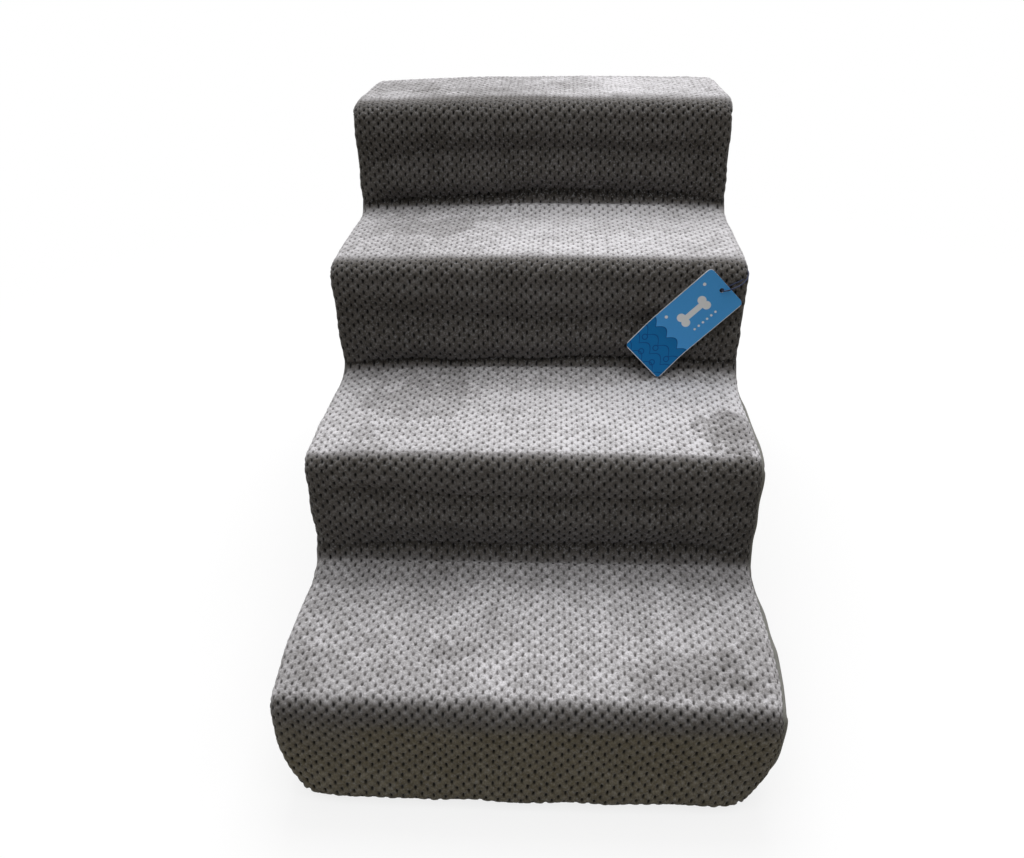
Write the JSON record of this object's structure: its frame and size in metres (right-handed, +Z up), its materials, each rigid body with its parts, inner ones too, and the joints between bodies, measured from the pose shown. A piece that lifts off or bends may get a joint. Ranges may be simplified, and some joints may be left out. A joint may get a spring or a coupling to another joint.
{
  "type": "pet stairs",
  "caption": "Soft foam pet stairs with stacked slabs in a zip-off plush cover, a plain back and sides, and a hang tag on a cord loop.",
  "frame": {"origin": "middle of the footprint, on the floor", "axes": "+Z up, +Y from the lowest step to the back, +X to the right as seen by one who climbs"},
  "size_m": [0.4046, 0.7031, 0.45],
  "materials": {
    "foam": "open-cell cushion foam, off-white",
    "plush": "grey waffle plush with small rounded tufts",
    "side_fabric": "plain close-knit fabric, grey with an olive tint",
    "grip_fabric": "dark fabric with rubber grip dots",
    "zip_tape": "woven zip tape, dark grey",
    "zip_teeth": "moulded plastic teeth, near black",
    "slider_metal": "die-cast slider, satin",
    "card": "coated printed card, blue",
    "tag_string": "thin braided cord, dark navy"
  },
  "bodies": {
    "stairs": {"foam_slab_1": "foam", "foam_slab_2": "foam", "foam_slab_3": "foam", "foam_slab_4": "foam", "step_cover": "plush", "left_side_panel": "side_fabric", "right_side_panel": "side_fabric", "base_panel": "grip_fabric", "back_frame_panel": "side_fabric", "back_flap": "side_fabric", "zipper_tape_outer": "zip_tape", "zipper_tape_inner": "zip_tape", "zipper_teeth_outer": "zip_teeth", "zipper_teeth_inner": "zip_teeth", "zipper_stops": "zip_teeth", "tag_cord": "tag_string"},
    "slider": {"zipper_slider": "slider_metal"},
    "pull": {"zipper_pull": "slider_metal"},
    "tag": {"hang_tag": "card"}
  },
  "joints": [
    {"name": "zip_slide", "type": "slide", "parent": "stairs", "child": "slider", "axis": [0, 0, 1], "range_m": [0, 0.305], "deforming": ["zipper_teeth_outer", "zipper_teeth_inner"]},
    {"name": "pull_flip", "type": "hinge", "parent": "slider", "child": "pull", "pos_m": [0.15, 0.3513, 0.0345], "axis": [1, 0, 0], "range_deg": [0, 175]},
    {"name": "tag_swing", "type": "hinge", "parent": "stairs", "child": "tag", "pos_m": [0.1785, -0.0024, 0.3125], "axis": [0, 0.9945, -0.1045], "range_deg": [0, 80]}
  ]
}
